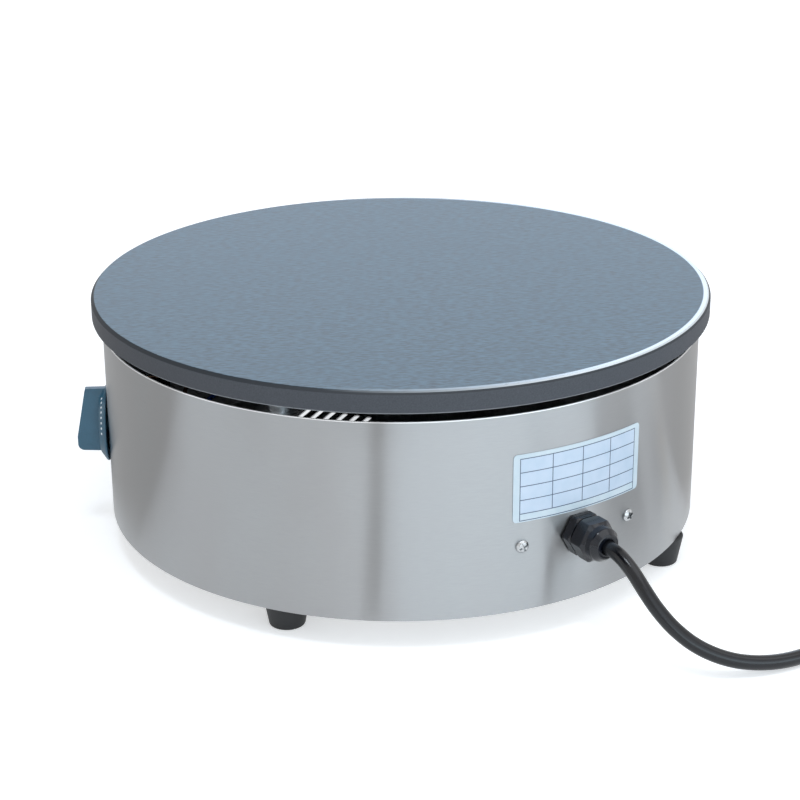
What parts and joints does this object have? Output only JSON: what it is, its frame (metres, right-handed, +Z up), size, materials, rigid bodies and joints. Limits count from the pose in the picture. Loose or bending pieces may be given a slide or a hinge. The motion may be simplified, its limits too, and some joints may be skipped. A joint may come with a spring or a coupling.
{
  "type": "electric crepe maker",
  "caption": "Round enamelled griddle plate on a stainless drum with rubber feet, a turning temperature knob, a cable gland and a mains cord.",
  "frame": {"origin": "on the drum's axis, in the plane of the worktop that the four feet stand on", "axes": "+Z up through the cooking plate, -Y towards the temperature knob"},
  "size_m": [0.4455, 0.5823, 0.1668],
  "materials": {
    "enamelled_iron": "black enamel over machined cast iron, fine orange-peel, satin gloss",
    "drum_steel": "bright-annealed stainless sheet, soft vertical reflections",
    "inner_steel": "plain rolled stainless sheet",
    "aluminised_steel": "aluminised sheet, matt",
    "zinc_steel": "zinc plated fasteners",
    "stainless_screws": "bright stainless pan heads",
    "heater_sheath": "oxidised nickel alloy sheath",
    "mineral_wool": "needled mineral fibre",
    "foot_rubber": "moulded black rubber",
    "knob_plastic": "moulded thermoset, satin",
    "gland_plastic": "moulded black polyamide",
    "gland_rubber": "soft black rubber seal",
    "phenolic": "brown thermoset moulding",
    "terminal_plastic": "white glass-filled polyamide",
    "brass_parts": "turned brass",
    "ceramic": "glazed ceramic beads with steel pins",
    "copper_tube": "drawn copper tube",
    "spring_steel": "blued spring strip",
    "lens_green": "translucent green lens",
    "lens_amber": "translucent amber lens",
    "label_film": "printed polyester film, blank ruled table",
    "cord_rubber": "smooth black rubber jacket",
    "plug_plastic": "moulded black plug",
    "tie_plastic": "black strap",
    "wire_brown": "brown silicone sleeve",
    "wire_blue": "blue silicone sleeve",
    "wire_earth": "green and yellow sleeve"
  },
  "bodies": {
    "housing": {"griddle_plate": "enamelled_iron", "plate_studs": "zinc_steel", "plate_spacers": "zinc_steel", "stud_nuts": "zinc_steel", "support_brackets": "inner_steel", "outer_heating_element": "heater_sheath", "inner_heating_element": "heater_sheath", "element_terminals": "ceramic", "element_link": "brass_parts", "clamp_disc": "aluminised_steel", "clamp_studs": "zinc_steel", "clamp_nuts": "zinc_steel", "insulation_blanket": "mineral_wool", "heat_shield_pan": "aluminised_steel", "pan_nuts": "zinc_steel", "drum_shell": "drum_steel", "base_plate": "inner_steel", "foot_tabs": "inner_steel", "foot_right": "foot_rubber", "foot_back": "foot_rubber", "foot_left": "foot_rubber", "foot_front": "foot_rubber", "foot_screws": "zinc_steel", "foot_washers": "zinc_steel", "foot_nuts": "zinc_steel", "thermostat_body": "phenolic", "thermostat_plate": "zinc_steel", "thermostat_screws": "zinc_steel", "capillary_bulb": "copper_tube", "bulb_clip": "zinc_steel", "pilot_housings": "gland_plastic", "pilot_lens_green": "lens_green", "pilot_lens_amber": "lens_amber", "pilot_nuts": "gland_plastic", "gland_washer": "gland_rubber", "gland_body": "gland_plastic", "gland_seal": "gland_rubber", "gland_nut": "gland_plastic", "gland_locknut": "gland_plastic", "terminal_bracket": "inner_steel", "bracket_screws": "stainless_screws", "bracket_nuts": "zinc_steel", "terminal_block": "terminal_plastic", "terminal_screws": "brass_parts", "rating_label": "label_film", "cord_tail": "cord_rubber", "power_cord": "cord_rubber", "cord_coil": "cord_rubber", "cord_plug_end": "cord_rubber", "cord_tie": "tie_plastic", "plug_body": "plug_plastic", "plug_pins": "brass_parts", "live_wire": "wire_brown", "neutral_wire": "wire_blue", "heater_wire": "wire_brown", "earth_wire": "wire_earth", "earth_stud": "zinc_steel"},
    "knob": {"temperature_knob": "knob_plastic", "knob_spring_clip": "spring_steel", "thermostat_shaft": "zinc_steel"}
  },
  "joints": [
    {"name": "knob_turn", "type": "hinge", "parent": "housing", "child": "knob", "pos_m": [0, -0.19415, 0.0729], "axis": [0, 1, 0], "range_deg": [0, 270]}
  ]
}
